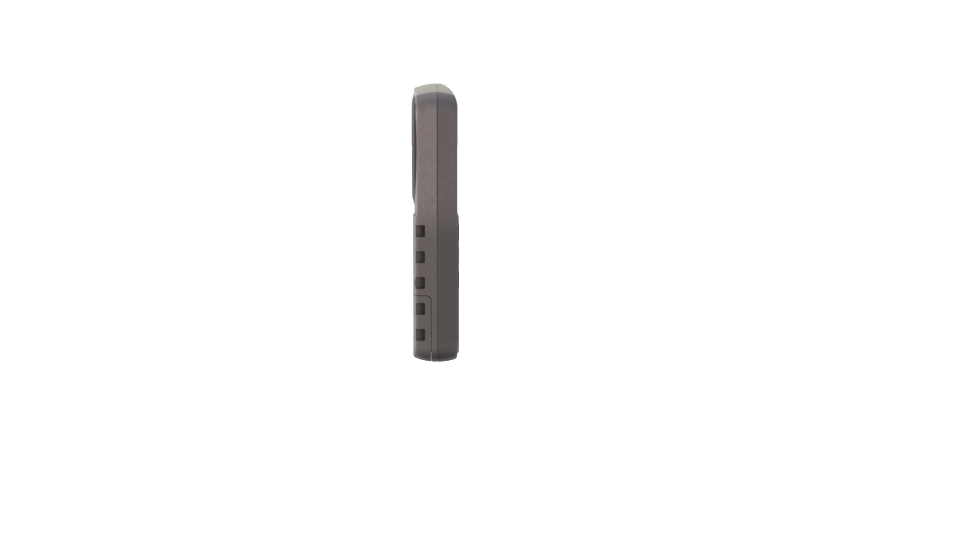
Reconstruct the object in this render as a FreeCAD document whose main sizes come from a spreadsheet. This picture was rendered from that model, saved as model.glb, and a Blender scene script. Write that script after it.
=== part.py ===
import FreeCAD, Part
import math
import os
import Sketcher

# Handheld electronic game caller: two case halves, keypad, circuit board, loudspeaker and battery bay.
# The device stands upright. X is its width, Y its depth (keys at -Y, loudspeaker at +Y), Z its height.
# Every piece is drawn from the parting plane of the case; its Placement carries it into the frame.

V = FreeCAD.Vector
doc = FreeCAD.newDocument("game_caller")

SIZES = {
    # case outline and the two halves
    "case_width": 58, "case_height": 121.5, "end_arch": 105, "crown_radius": 26, "draft_angle": 1.5,
    "top_corner": 8, "bottom_corner": 9, "front_depth": 8.7, "rear_stock": 12,
    "rear_edge": 9.1, "back_crest": 10.6, "upper_crest": 10.0, "step_height": 64.5,
    "brow_start": 110.5, "brow_radius": 12, "brow_end": 122, "front_rim": 1.5, "rear_rim": 1.7,
    "seam_groove": 0.2, "frame_shift": -0.75,
    # walls inside the case
    "side_wall": 2.0, "end_wall": 3.0, "front_inner": 6.9, "brow_inner": 4.6, "brow_ledge": 108,
    "rear_inner": 7.6, "tongue_width": 0.8, "tongue_height": 1.0, "tongue_gap": 0.1,
    # grip notches
    "notch_height": 5.1, "notch_floor": 27.4, "notch_front": 5.3, "notch_lowest": 13.6, "notch_pitch": 11.1,
    "notch_corner": 0.5, "notch_backing": 1.3,
    # battery door and bay
    "door_top": 30.25, "door_edge": 2.7, "door_gap": 0.25, "door_corner": 2.5, "door_wall": 2.4,
    "door_end_wall": 3.2, "seal_thickness": 0.2, "seal_inset": 0.3, "seal_top": 27.5,
    "rail_bottom": 9, "rail_top": 26, "rail_front": 3.0, "rail_width": 0.9, "rail_depth": 0.6,
    "rail_clearance": 0.15,
    "grip_width": 18, "grip_groove": 1.0, "grip_pitch": 2.4, "grip_floor": 10.05, "grip_lowest": 9,
    "bay_half": 26.4, "bay_bottom": 5.5, "bay_top": 30.9, "bay_front": 4.5, "bay_rear": 7.3,
    "bay_wall": 0.9, "bay_floor": 3.3, "bay_corner": 6.4, "bay_roof": 28.4, "shelf_front": 1.2,
    "rib_top": 31.8, "cell_radius": 5.25, "cell_half": 22.25, "cell_low": 12.2, "cell_high": 22.9,
    "cell_depth": 2.2, "cell_nub": 1.9, "cell_nub_length": 0.85,
    "contact_thickness": 0.3, "contact_half": 3.2, "tail_front": 2.6, "tail_width": 1.7,
    "spring_radius": 2.6, "spring_wire": 0.25, "spring_pitch": 0.85,
    # case screws
    "screw_low_across": 24.3, "screw_low_height": 35.6, "screw_high_across": 21.5, "screw_high_height": 111.5,
    "head_radius": 1.9, "head_seat": 4.0, "head_height": 1.5, "shank_radius": 1.0, "shank_end": 5.2,
    "front_boss": 2.3, "rear_boss": 2.9, "boss_meet": 1.2,
    # keypad
    "panel_half": 26.6, "panel_bottom": 5, "panel_top": 64.5, "panel_face": 9.3, "panel_back": 8.1,
    "panel_gap": 0.1, "panel_low_corner": 8, "panel_high_corner": 6, "panel_edge": 0.4,
    "peg_radius": 1.0, "peg_across": 23.2, "peg_low": 14, "peg_high": 59, "peg_length": 0.7,
    "key_width": 12, "key_height": 7.4, "key_corner": 2.6, "key_gap": 0.2, "key_face": 9.5, "key_edge": 0.5,
    "flange_width": 13.4, "flange_height": 9.2, "flange_corner": 1.5, "flange_front": 6.85,
    "flange_back": 6.25,
    "key_column": 15, "key_pair": 9, "row_high": 57, "row_middle": 47, "row_low": 37,
    "mat_front": 5.5, "mat_half": 19.5, "mat_bottom": 31.8, "mat_top": 64,
    "dome_radius": 3.28, "dome_web": 0.28, "plunger_radius": 2.2, "pill_radius": 1.6,
    # circuit board
    "board_front": 4.6, "board_back": 3.6, "board_half": 20, "board_bottom": 31.2, "board_top": 72.5,
    "post_radius": 1.9, "post_across": 17, "post_height": 67.5, "post_middle": 47, "lamp_height": 69.5,
    "board_screw": 0.8, "board_screw_head": 1.7, "lens_radius": 1.5,
    # labels on the front
    "label_half": 20, "label_bottom": 76, "label_top": 103, "label_depth": 0.4, "label_gap": 0.08,
    "list_half": 20.5, "list_bottom": 10, "list_top": 28.5, "list_corner": 3,
    # loudspeaker and its cover
    "speaker_height": 93, "cover_radius": 24.8, "cover_flat": 20, "cover_face": 11.0, "cover_rim": 10.0,
    "cover_seat": 9.0, "cover_inner": 9.7, "cover_gap": 0.1, "spigot_radius": 16.3, "spigot_inner": 15.4,
    "spigot_front": 7.9, "slot_height": 1.7, "slot_pitch": 3.4, "slot_reach": 14.6, "cloth_radius": 15.2,
    "cloth_front": 9.5, "cloth_back": 9.68, "speaker_radius": 18.5, "speaker_face": 7.0, "speaker_sheet": 0.6,
    "gasket_inner": 16.6, "cone_radius": 13.4, "cone_foot": 3,
    "coil_radius": 6.9, "coil_wall": 0.3, "coil_end": 0.4,
    "pole_radius": 6.3, "gap_radius": 7.2, "plate_radius": 11.5, "plate_face": 1.2, "magnet_radius": 12,
    "magnet_bore": 8, "magnet_depth": 3, "yoke_depth": 4,
    "speaker_screw_ring": 20.3, "speaker_boss": 1.7, "speaker_screw_head": 2.2, "speaker_screw": 0.8,
    "wire_radius": 0.45,
}

sheet = doc.addObject("Spreadsheet::Sheet", "Sizes")
for row, (alias, value) in enumerate(SIZES.items(), 1):
    sheet.set("A%d" % row, alias)
    sheet.set("B%d" % row, str(value))
    sheet.setAlias("B%d" % row, alias)
doc.recompute()

PARTS = []


def size(text):
    """Writes an expression: every word of the table in the text is read from the sheet."""
    words = []
    word = ""
    for letter in str(text) + " ":
        if letter.isalpha() or letter == "_":
            word += letter
            continue
        words.append("Sizes." + word if word in SIZES else word)
        words.append(letter)
        word = ""
    return "".join(words).strip()


def number(text):
    result = sheet.evalExpression(size(text))
    return float(getattr(result, "Value", result))


# ---------------------------------------------------------------- drawing

def pin(sketch, curve, point, axis, text):
    """Ties one coordinate of a sketch point to an expression."""
    value = number(text)
    if abs(value) < 1e-9:
        sketch.addConstraint(Sketcher.Constraint("PointOnObject", curve, point, -2 if axis == "X" else -1))
    elif value > 0:
        c = sketch.addConstraint(Sketcher.Constraint("Distance" + axis, -1, 1, curve, point, value))
        sketch.setExpression("Constraints[%d]" % c, size(text))
    else:
        c = sketch.addConstraint(Sketcher.Constraint("Distance" + axis, curve, point, -1, 1, -value))
        sketch.setExpression("Constraints[%d]" % c, size("-(%s)" % text))


def bind_radius(sketch, curve, text):
    c = sketch.addConstraint(Sketcher.Constraint("Radius", curve, number(text)))
    sketch.setExpression("Constraints[%d]" % c, size(text))


def arc(x, z, radius, start, end):
    return Part.ArcOfCircle(Part.Circle(V(x, z, 0), V(0, 0, 1), radius), start, end)


def chain(sketch, curves, joint):
    """Adds curves head to tail, each meeting the next with the given constraint."""
    first = sketch.GeometryCount
    for curve in curves:
        sketch.addGeometry(curve, False)
    count = len(curves)
    for k in range(count):
        sketch.addConstraint(Sketcher.Constraint(joint, first + k, 2, first + (k + 1) % count, 1))
    return first


def draw_disc(sketch, x, z, radius):
    k = sketch.addGeometry(Part.Circle(V(number(x), number(z), 0), V(0, 0, 1), number(radius)), False)
    pin(sketch, k, 3, "X", x)
    pin(sketch, k, 3, "Y", z)
    bind_radius(sketch, k, radius)


def draw_polygon(sketch, points):
    at = [V(number(x), number(y), 0) for x, y in points]
    curves = [Part.LineSegment(at[k], at[(k + 1) % len(at)]) for k in range(len(at))]
    first = chain(sketch, curves, "Coincident")
    for k, (x, y) in enumerate(points):
        pin(sketch, first + k, 1, "X", x)
        pin(sketch, first + k, 1, "Y", y)


def draw_box(sketch, left, right, bottom, top):
    draw_polygon(sketch, [(left, bottom), (right, bottom), (right, top), (left, top)])


def draw_plate(sketch, left, right, bottom, top, low_corner, high_corner):
    """Rectangle with rounded corners."""
    a, b, c, d = number(left), number(right), number(bottom), number(top)
    low, high = number(low_corner), number(high_corner)
    half = math.pi / 2
    curves = [
        Part.LineSegment(V(a + low, c, 0), V(b - low, c, 0)), arc(b - low, c + low, low, -half, 0),
        Part.LineSegment(V(b, c + low, 0), V(b, d - high, 0)), arc(b - high, d - high, high, 0, half),
        Part.LineSegment(V(b - high, d, 0), V(a + high, d, 0)), arc(a + high, d - high, high, half, 2 * half),
        Part.LineSegment(V(a, d - high, 0), V(a, c + low, 0)), arc(a + low, c + low, low, 2 * half, 3 * half),
    ]
    k = chain(sketch, curves, "Tangent")
    for line, kind in ((k, "Horizontal"), (k + 2, "Vertical"), (k + 4, "Horizontal"), (k + 6, "Vertical")):
        sketch.addConstraint(Sketcher.Constraint(kind, line))
    for corner, radius in ((1, low_corner), (3, high_corner), (5, high_corner), (7, low_corner)):
        bind_radius(sketch, k + corner, radius)
    pin(sketch, k, 1, "Y", bottom)
    pin(sketch, k + 2, 1, "X", right)
    pin(sketch, k + 4, 1, "Y", top)
    pin(sketch, k + 6, 1, "X", left)


def draw_centred(sketch, x, z, width, height, corner):
    draw_plate(sketch, "%s - (%s)/2" % (x, width), "%s + (%s)/2" % (x, width),
               "%s - (%s)/2" % (z, height), "%s + (%s)/2" % (z, height), corner, corner)


def draw_outline(sketch, half, bottom, top, arch, low_corner, high_corner):
    """Case outline: straight sides, arched ends, rounded corners."""
    w, z0, z1, big = number(half), number(bottom), number(top), number(arch)
    low, high = number(low_corner), number(high_corner)
    top_centre, bottom_centre = z1 - big, z0 + big
    xh, xl = w - high, w - low
    zh = top_centre + math.sqrt((big - high) ** 2 - xh ** 2)
    zl = bottom_centre - math.sqrt((big - low) ** 2 - xl ** 2)
    up = math.atan2(zh - top_centre, xh)
    down = math.atan2(zl - bottom_centre, xl)
    curves = [
        Part.LineSegment(V(w, zl, 0), V(w, zh, 0)), arc(xh, zh, high, 0, up),
        arc(0, top_centre, big, up, math.pi - up), arc(-xh, zh, high, math.pi - up, math.pi),
        Part.LineSegment(V(-w, zh, 0), V(-w, zl, 0)), arc(-xl, zl, low, math.pi, math.pi - down),
        arc(0, bottom_centre, big, math.pi - down, 2 * math.pi + down), arc(xl, zl, low, down, 0),
    ]
    k = chain(sketch, curves, "Tangent")
    for line, x in ((k, half), (k + 4, "-(%s)" % half)):
        sketch.addConstraint(Sketcher.Constraint("Vertical", line))
        pin(sketch, line, 1, "X", x)
    radii = {1: high_corner, 2: arch, 3: high_corner, 5: low_corner, 6: arch, 7: low_corner}
    for curve, radius in radii.items():
        bind_radius(sketch, k + curve, radius)
    for curve, z in ((k + 2, "%s - (%s)" % (top, arch)), (k + 6, "%s + (%s)" % (bottom, arch))):
        pin(sketch, curve, 3, "X", "0")
        pin(sketch, curve, 3, "Y", z)


# ---------------------------------------------------------------- features

def new_body(name, x="0", z="0"):
    """A body whose placement carries it from the parting plane into the frame."""
    body = doc.addObject("PartDesign::Body", name)
    body.AllowCompound = True
    body.setExpression("Placement.Base.x", size(x))
    body.setExpression("Placement.Base.y", size("frame_shift"))
    body.setExpression("Placement.Base.z", size(z))
    return body


def publish(item, name):
    item.Label = name
    PARTS.append(item)
    return item


def sketch_on(body, role, name, offset):
    """Sketch on one of the body's planes; offset runs along the plane's normal."""
    sketch = body.newObject("Sketcher::SketchObject", name)
    plane = [f for f in body.Origin.OriginFeatures if f.Role == role][0]
    sketch.AttachmentSupport = [(plane, "")]
    sketch.MapMode = "FlatFace"
    sketch.setExpression("AttachmentOffset.Base.z", size(offset))
    return sketch


def feature(body, kind, name, sketch, span, reverse):
    item = body.newObject("PartDesign::" + kind, name)
    item.Profile = sketch
    item.setExpression("Length", size(span))
    item.Reversed = reverse
    doc.recompute()
    return item


def front_sketch(body, name, y, draw):
    """Sketch in a plane of constant Y; local x is X, local y is Z."""
    sketch = sketch_on(body, "XZ_Plane", name + "_sketch", "-(%s)" % y)
    draw(sketch)
    return sketch


def add(body, name, y0, y1, draw):
    """Material between two depths, y0 in front of y1."""
    return feature(body, "Pad", name, front_sketch(body, name, y0, draw), "(%s) - (%s)" % (y1, y0), True)


def checked_cut(body, item, before):
    if item.Shape.isNull() or item.Shape.Volume > before - 1e-6:
        raise RuntimeError("%s removes nothing" % item.Name)
    return item


def cut(body, name, y0, y1, draw):
    """Removes material between two depths, y0 in front of y1."""
    before = body.Shape.Volume
    item = feature(body, "Pocket", name, front_sketch(body, name, y0, draw), "(%s) - (%s)" % (y1, y0), False)
    return checked_cut(body, item, before)


def side_cut(body, name, x0, x1, draw):
    """Removes material between two widths, x0 < x1; local x is Y, local y is Z."""
    before = body.Shape.Volume
    sketch = sketch_on(body, "YZ_Plane", name + "_sketch", x0)
    draw(sketch)
    item = feature(body, "Pocket", name, sketch, "(%s) - (%s)" % (x1, x0), True)
    return checked_cut(body, item, before)


def turn(body, name, points):
    """Turns a profile of (radius, y) points about the body's own Y axis."""
    sketch = sketch_on(body, "YZ_Plane", name + "_sketch", "0")
    draw_polygon(sketch, [(y, r) for r, y in points])
    item = body.newObject("PartDesign::Revolution", name)
    item.Profile = sketch
    item.ReferenceAxis = (sketch, ["H_Axis"])
    item.Angle = 360
    doc.recompute()
    return item


def dress(body, kind, name, test, text):
    """Fillet or chamfer on every edge of the tip that passes the test."""
    base = body.Tip
    edges = ["Edge%d" % (k + 1) for k, e in enumerate(base.Shape.Edges) if test(e)]
    item = body.newObject("PartDesign::" + kind, name)
    item.Base = (base, edges)
    item.setExpression("Radius" if kind == "Fillet" else "Size", size(text))
    doc.recompute()
    return item


def ends(edge):
    return [v.Point for v in edge.Vertexes]


# ---------------------------------------------------------------- case

CASE_SIDE = "case_width/2"
INNER_SIDE = "case_width/2 - side_wall"
INNER_TOP = "case_height - end_wall"
SCREWS = [("screw_low_across", "screw_low_height"), ("-screw_low_across", "screw_low_height"),
          ("screw_high_across", "screw_high_height"), ("-screw_high_across", "screw_high_height")]
NOTCHES = ["notch_lowest + %d*notch_pitch" % k for k in range(5)]


def case_stock(body, depth, side):
    """Half of the crowned case: a loft through outlines that shrink away from the parting plane."""
    sections = []
    for k in range(4):
        y = "(%s)*%d/3" % (depth, k)
        drop = "(crown_radius - sqrt(crown_radius^2 - (%s)^2))" % y
        arch = "end_arch - %s" % drop
        sketch = sketch_on(body, "XZ_Plane", "case_section_%d" % k, "%d*%s" % (-side, y))
        draw_outline(sketch, "case_width/2 - (%s)*tan(draft_angle)" % y, drop, "case_height - %s" % drop,
                     arch, "bottom_corner", "top_corner")
        sections.append(sketch)
    loft = body.newObject("PartDesign::AdditiveLoft", "case_stock")
    loft.Profile = sections[0]
    loft.Sections = sections[1:]
    doc.recompute()

    def draw_seam(sketch):
        for grow in ("2", "-seam_groove"):
            draw_outline(sketch, "case_width/2 + " + grow, "-(%s)" % grow, "case_height + " + grow,
                         "end_arch + " + grow, "bottom_corner + " + grow, "top_corner + " + grow)

    cut(body, "seam_groove", "-seam_groove*%d" % (side < 0), "seam_groove*%d" % (side > 0), draw_seam)


def draw_inner(sketch, grow="0", bottom="end_wall", top=INNER_TOP):
    """Inner outline of the case, wider by grow."""
    draw_outline(sketch, "%s + %s" % (INNER_SIDE, grow), "%s - (%s)" % (bottom, grow),
                 "%s + %s" % (top, grow), "end_arch - end_wall",
                 "bottom_corner - side_wall + %s" % grow, "top_corner - side_wall + %s" % grow)


def crown_back(body, name, crest, z0, z1):
    """Trims the back to a shallow arch across the width, between two heights."""
    sketch = sketch_on(body, "XY_Plane", name + "_sketch", z0)
    reach, far = 34.0, 20.0
    half, rise = number(CASE_SIDE), number("back_crest - rear_edge")
    radius = (half ** 2 + rise ** 2) / (2 * rise)
    centre = number(crest) - radius
    y = centre + math.sqrt(radius ** 2 - reach ** 2)
    turned = math.acos(reach / radius)
    k = chain(sketch, [arc(0, centre, radius, turned, math.pi - turned),
                       Part.LineSegment(V(-reach, y, 0), V(-reach, far, 0)),
                       Part.LineSegment(V(-reach, far, 0), V(reach, far, 0)),
                       Part.LineSegment(V(reach, far, 0), V(reach, y, 0))], "Coincident")
    bow = "((case_width/2)^2 + (back_crest - rear_edge)^2)/(2*(back_crest - rear_edge))"
    bind_radius(sketch, k, bow)
    pin(sketch, k, 3, "X", "0")
    pin(sketch, k, 3, "Y", "%s - %s" % (crest, bow))
    pin(sketch, k, 1, "X", str(reach))
    for line, x in ((k + 1, -reach), (k + 3, reach)):
        sketch.addConstraint(Sketcher.Constraint("Vertical", line))
        pin(sketch, line, 2 if line == k + 1 else 1, "Y", str(far))
        if x < 0:
            pin(sketch, line, 1, "X", str(x))
    before = body.Shape.Volume
    item = feature(body, "Pocket", name, sketch, "(%s) - (%s)" % (z1, z0), True)
    return checked_cut(body, item, before)


def rear_stock(body):
    """Outer shape shared by the rear half and the battery door."""
    case_stock(body, "rear_stock", 1)
    crown_back(body, "back_crown", "back_crest", "-5", "case_height + 5")
    dress(body, "Fillet", "rear_rim", lambda e: min(p.y for p in ends(e)) > 5, "rear_rim")


def draw_notches(sketch, heights):
    for z in heights:
        draw_plate(sketch, "notch_front", "notch_front + 8", "%s - notch_height/2" % z,
                   "%s + notch_height/2" % z, "notch_corner", "notch_corner")


def cut_notches(body, heights):
    side_cut(body, "notches_right", "notch_floor", "notch_floor + 5", lambda s: draw_notches(s, heights))
    side_cut(body, "notches_left", "-notch_floor - 5", "-notch_floor", lambda s: draw_notches(s, heights))


def draw_door_edge(sketch, edge, top, keep_door):
    """Side view of what is cut away along the door's step line: all but the door, or the door's own room."""
    y, z, r = number(edge), number(top), number("door_corner")
    low, high, near, far = -5.0, 130.0, -3.0, 16.0
    path = [(far, z), (y + r, z), (y, z - r), (y, low)]
    path += [(near, low), (near, high), (far, high)] if keep_door else [(far, low)]
    count = len(path)
    curves = [arc(y + r, z - r, r, math.pi / 2, math.pi) if k == 1 else
              Part.LineSegment(V(*path[k], 0), V(*path[(k + 1) % count], 0)) for k in range(count)]
    first = chain(sketch, curves, "Coincident")
    bind_radius(sketch, first + 1, "door_corner")
    for point in (3, 1):
        pin(sketch, first + 1, point, "X", "%s + door_corner" % edge)
    for point in (3, 2):
        pin(sketch, first + 1, point, "Y", "%s - door_corner" % top)
    for k in [0] + list(range(3, count)):
        pin(sketch, first + k, 1, "X", edge if k == 3 else str(path[k][0]))
        pin(sketch, first + k, 1, "Y", top if k == 0 else str(path[k][1]))


def build_front_shell():
    body = new_body("front_shell")
    case_stock(body, "front_depth", -1)

    def draw_brow(sketch):
        z0, z1, front = number("brow_start"), number("brow_end"), -12.0
        radius = number("brow_radius")
        centre = radius - number("front_depth")
        angle = math.pi - math.asin((z1 - z0) / radius)
        y1 = centre + radius * math.cos(angle)
        k = chain(sketch, [arc(centre, z0, radius, angle, math.pi),
                           Part.LineSegment(V(centre - radius, z0, 0), V(front, z0, 0)),
                           Part.LineSegment(V(front, z0, 0), V(front, z1, 0)),
                           Part.LineSegment(V(front, z1, 0), V(y1, z1, 0))], "Coincident")
        bind_radius(sketch, k, "brow_radius")
        pin(sketch, k, 3, "X", "brow_radius - front_depth")
        pin(sketch, k, 3, "Y", "brow_start")
        pin(sketch, k, 1, "Y", "brow_end")
        pin(sketch, k, 2, "Y", "brow_start")
        for line, z in ((k + 2, "brow_start"), (k + 3, "brow_end")):
            pin(sketch, line, 1, "X", str(front))
            pin(sketch, line, 1, "Y", z)

    side_cut(body, "brow", "-40", "40", draw_brow)
    rim = "front_rim"
    dress(body, "Fillet", "front_rim",
          lambda e: max(p.y for p in ends(e)) < -5 and abs(ends(e)[0].x) + abs(ends(e)[-1].x) > 20
          and not all(abs(p.z - number("brow_start")) < 1e-3 for p in ends(e)), rim)
    cut(body, "cavity", "-brow_inner", "0", draw_inner)
    cut(body, "deep_cavity", "-front_inner", "-brow_inner", lambda s: draw_inner(s, top="brow_ledge"))

    def draw_tongue(sketch):
        draw_inner(sketch)
        draw_inner(sketch, grow="tongue_width")

    add(body, "tongue", "-0.6", "tongue_height", draw_tongue)
    add(body, "screw_bosses", "-front_inner - 0.4", "boss_meet",
        lambda s: [draw_disc(s, x, z, "front_boss") for x, z in SCREWS])
    posts = [("post_across", "post_height"), ("-post_across", "post_height"), ("0", "post_middle")]
    add(body, "board_posts", "-front_inner - 0.4", "-board_front",
        lambda s: [draw_disc(s, x, z, "post_radius") for x, z in posts])
    cut(body, "screw_bores", "-shank_end - 0.4", "boss_meet + 0.1",
        lambda s: [draw_disc(s, x, z, "shank_radius + 0.03") for x, z in SCREWS])
    cut(body, "post_bores", "-front_inner + 0.2", "-board_front + 0.1",
        lambda s: [draw_disc(s, x, z, "board_screw + 0.03") for x, z in posts])
    cut(body, "panel_recess", "-front_depth - 0.5", "-panel_back",
        lambda s: draw_plate(s, "-panel_half - panel_gap", "panel_half + panel_gap",
                             "panel_bottom - panel_gap", "panel_top + panel_gap",
                             "panel_low_corner", "panel_high_corner"))
    cut(body, "peg_holes", "-panel_back - 0.1", "-panel_back + peg_length + 0.1",
        lambda s: [draw_disc(s, x, z, "peg_radius + 0.05") for x, z in PEGS])
    cut(body, "key_windows", "-front_depth - 0.5", "-front_inner + 0.1",
        lambda s: [draw_centred(s, x, z, "key_width + 2*key_gap", "key_height + 2*key_gap", "key_corner")
                   for _, x, z in KEYS])
    cut(body, "lens_hole", "-front_depth - 0.5", "-front_inner + 0.1",
        lambda s: draw_disc(s, "0", "lamp_height", "lens_radius + 0.05"))
    cut(body, "label_recess", "-front_depth - 0.5", "-front_depth + label_depth",
        lambda s: draw_plate(s, "-label_half", "label_half", "label_bottom", "label_top",
                             "(label_top - label_bottom)/2 - 0.1", "(label_top - label_bottom)/2 - 0.1"))
    publish(body, "front_shell")


def build_rear_shell():
    body = new_body("rear_shell")
    rear_stock(body)
    crown_back(body, "upper_crown", "upper_crest", "step_height", "case_height + 5")
    cut(body, "cavity", "-0.5", "rear_inner", draw_inner)
    cut(body, "tongue_rebate", "-0.5", "tongue_height + 0.1",
        lambda s: draw_inner(s, grow="tongue_width + tongue_gap"))
    side_cut(body, "door_opening", "-40", "40",
             lambda s: draw_door_edge(s, "door_edge - door_gap", "door_top + door_gap", False))
    add(body, "bay_shelf", "shelf_front", "door_edge - door_gap",
        lambda s: draw_inner(s, grow="0.5", top="bay_top"))
    add(body, "bay_walls", "-bay_front", "bay_rear",
        lambda s: draw_plate(s, "-bay_half", "bay_half", "bay_bottom", "bay_top", "bay_corner", "1"))
    add(body, "bay_rib", "shelf_front", "rear_inner + 0.3",
        lambda s: draw_box(s, "-(%s) - 0.3" % INNER_SIDE, "%s + 0.3" % INNER_SIDE,
                           "door_top + door_gap", "rib_top"))
    add(body, "door_rails", "rail_front", "rail_front + rail_width",
        lambda s: [draw_box(s, a, b, "rail_bottom", "rail_top")
                   for a, b in (("bay_half - 0.3", "bay_half + rail_depth"),
                                ("-bay_half - rail_depth", "0.3 - bay_half"))])
    add(body, "screw_bosses", "boss_meet + 0.1", "rear_inner + 0.3",
        lambda s: [draw_disc(s, x, z, "rear_boss") for x, z in SCREWS])
    add(body, "speaker_bosses", "speaker_face - speaker_sheet", "rear_inner + 0.3",
        lambda s: [draw_disc(s, x, z, "speaker_boss") for x, z in SPEAKER_SCREWS])
    add(body, "notch_backing", "notch_front - 1", "rear_inner + 0.3",
        lambda s: [draw_box(s, a, b, "%s - notch_height/2 - 1" % z, "%s + notch_height/2 + 1" % z)
                   for z in NOTCHES[2:]
                   for a, b in (("notch_floor - notch_backing", "notch_floor"),
                                ("-notch_floor", "notch_backing - notch_floor"))])
    cut(body, "bay", "-bay_floor", "rear_stock",
        lambda s: draw_plate(s, "bay_wall - bay_half", "bay_half - bay_wall", "bay_bottom + bay_wall",
                             "bay_roof", "bay_corner - bay_wall", "0.6"))
    cut(body, "tail_slots", "-tail_front - 0.1", "-tail_front + tail_width + 0.1",
        lambda s: [draw_box(s, a, b, "bay_roof - 0.4", "bay_top + 0.2")
                   for a, b in (("bay_half - bay_wall - 0.5", "bay_half - bay_wall"),
                                ("bay_wall - bay_half", "bay_wall - bay_half + 0.5"))])
    cut(body, "contact_pockets", "cell_depth - contact_half - 0.1", "cell_depth + contact_half + 0.1",
        lambda s: [draw_box(s, a, b, "cell_low - contact_half - 0.1", "cell_low + contact_half")
                   for a, b in (("bay_half - bay_wall - 2", "bay_half - bay_wall + 0.02"),
                                ("bay_wall - bay_half - 0.02", "bay_wall - bay_half + 2"))])
    cut(body, "cover_seat", "cover_seat", "rear_stock + 1",
        lambda s: draw_disc(s, "0", "speaker_height", "cover_radius + cover_gap"))
    cut(body, "sound_opening", "rear_inner - 0.5", "rear_stock",
        lambda s: draw_disc(s, "0", "speaker_height", "spigot_radius + cover_gap"))
    cut(body, "head_bores", "head_seat", "rear_stock",
        lambda s: [draw_disc(s, x, z, "head_radius + 0.2") for x, z in SCREWS])
    cut(body, "shank_bores", "boss_meet - 0.5", "head_seat + 0.1",
        lambda s: [draw_disc(s, x, z, "shank_radius + 0.1") for x, z in SCREWS])
    cut(body, "speaker_bores", "speaker_face - speaker_sheet - 0.1", "cover_seat - 0.5",
        lambda s: [draw_disc(s, x, z, "speaker_screw + 0.03") for x, z in SPEAKER_SCREWS])
    cut_notches(body, NOTCHES[2:])
    publish(body, "rear_shell")

    seal = new_body("door_seal")
    edge = "door_edge - door_gap"

    def draw_seal(sketch):
        for inset in ("seal_inset", "side_wall"):
            draw_outline(sketch, "case_width/2 - " + inset, "0.1 + " + inset, "case_height - " + inset,
                         "end_arch - " + inset, "bottom_corner - " + inset, "top_corner - " + inset)

    add(seal, "loop", edge, "%s + seal_thickness" % edge, draw_seal)
    cut(seal, "open_top", "%s - 0.1" % edge, "%s + seal_thickness + 0.1" % edge,
        lambda s: draw_box(s, "-40", "40", "seal_top", "case_height + 5"))
    publish(seal, "door_seal")


def build_battery_door():
    body = new_body("battery_door")
    rear_stock(body)
    side_cut(body, "door_limits", "-40", "40", lambda s: draw_door_edge(s, "door_edge", "door_top", True))
    cut(body, "door_hollow", "door_edge - 0.5", "rear_inner",
        lambda s: draw_outline(s, "case_width/2 - door_wall", "door_end_wall", "60",
                               "end_arch - door_end_wall", "bottom_corner - door_wall", "top_corner"))
    cut(body, "rail_grooves", "rail_front - rail_clearance", "rail_front + rail_width + rail_clearance",
        lambda s: [draw_box(s, a, b, "rail_bottom - rail_clearance", "door_top + 10")
                   for a, b in (("bay_half - 0.8", "bay_half + rail_depth + rail_clearance"),
                                ("-bay_half - rail_depth - rail_clearance", "0.8 - bay_half"))])
    cut(body, "thumb_grooves", "grip_floor", "rear_stock",
        lambda s: [draw_centred(s, "0", "grip_lowest + %d*grip_pitch" % k, "grip_width", "grip_groove",
                                "grip_groove/2.2") for k in range(5)])
    cut_notches(body, NOTCHES[:2])
    publish(body, "battery_door")


# ---------------------------------------------------------------- keypad

KEYS = [
    ("call_key_1", "-key_column", "row_high"), ("call_key_2", "0", "row_high"),
    ("call_key_3", "key_column", "row_high"),
    ("call_key_4", "-key_pair", "row_middle"), ("call_key_5", "key_pair", "row_middle"),
    ("volume_down_key", "-key_column", "row_low"), ("power_key", "0", "row_low"),
    ("volume_up_key", "key_column", "row_low"),
]
PEGS = [(x, z) for z in ("peg_low", "peg_high") for x in ("peg_across", "-peg_across")]


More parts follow.
